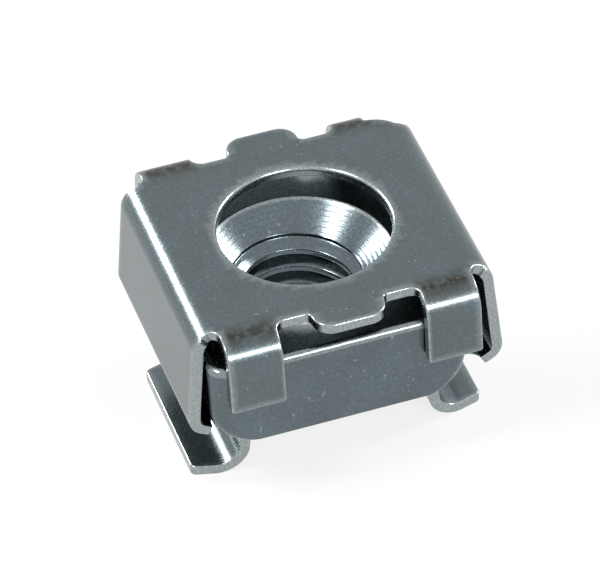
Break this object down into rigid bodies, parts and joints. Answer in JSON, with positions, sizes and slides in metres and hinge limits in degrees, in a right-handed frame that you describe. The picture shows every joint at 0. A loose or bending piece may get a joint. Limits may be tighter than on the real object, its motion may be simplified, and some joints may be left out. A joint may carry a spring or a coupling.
{
  "type": "rack cage nut",
  "caption": "Square nut held loosely in a folded spring-steel cage whose hooked lips snap into the square hole of a rack rail and take a machine screw.",
  "frame": {"origin": "under the middle of the screw hole, at the level of the two lips' undersides", "axes": "+X from one lip to the other, +Y along the lips from one pair of tabs to the other, +Z along the screw, from the lips up to the plate"},
  "size_m": [0.0144, 0.0138, 0.0098],
  "materials": {
    "spring_steel": "bright zinc plate over thin spring steel",
    "nut_steel": "zinc plate over cold-formed steel"
  },
  "bodies": {
    "root": {"cage": "spring_steel", "square_nut": "nut_steel"}
  },
  "joints": []
}
